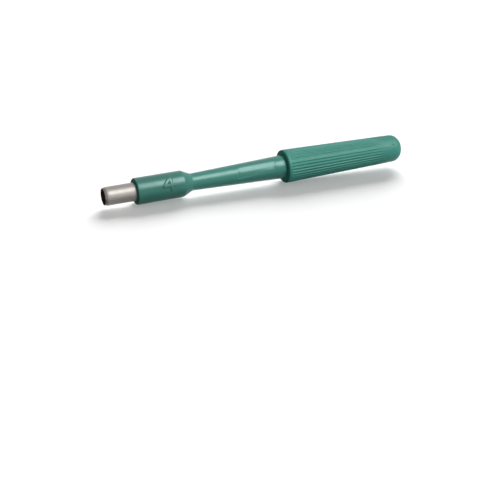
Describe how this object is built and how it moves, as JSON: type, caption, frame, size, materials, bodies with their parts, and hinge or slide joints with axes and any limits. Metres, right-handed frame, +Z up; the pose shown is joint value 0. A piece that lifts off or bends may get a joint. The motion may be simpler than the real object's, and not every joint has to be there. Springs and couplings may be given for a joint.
{
  "type": "biopsy punch",
  "caption": "Skin biopsy punch: an open steel tube with a ground circular edge, set in a slim green moulded handle with a ribbed grip cap.",
  "frame": {"origin": "on the surface that the punch lies on, under the middle of its box", "axes": "+X from the cutting edge towards the closed end of the cap, +Z up; the tip hangs 1.39 degrees below level"},
  "size_m": [0.0798, 0.0082, 0.0083],
  "materials": {
    "steel": "satin, drawn along the tube, ground at the edge",
    "handle_plastic": "moulded, soft sheen",
    "cap_plastic": "moulded, satin"
  },
  "bodies": {
    "root": {"blade_tube": "steel", "handle_body": "handle_plastic", "grip_cap": "cap_plastic"}
  },
  "joints": []
}
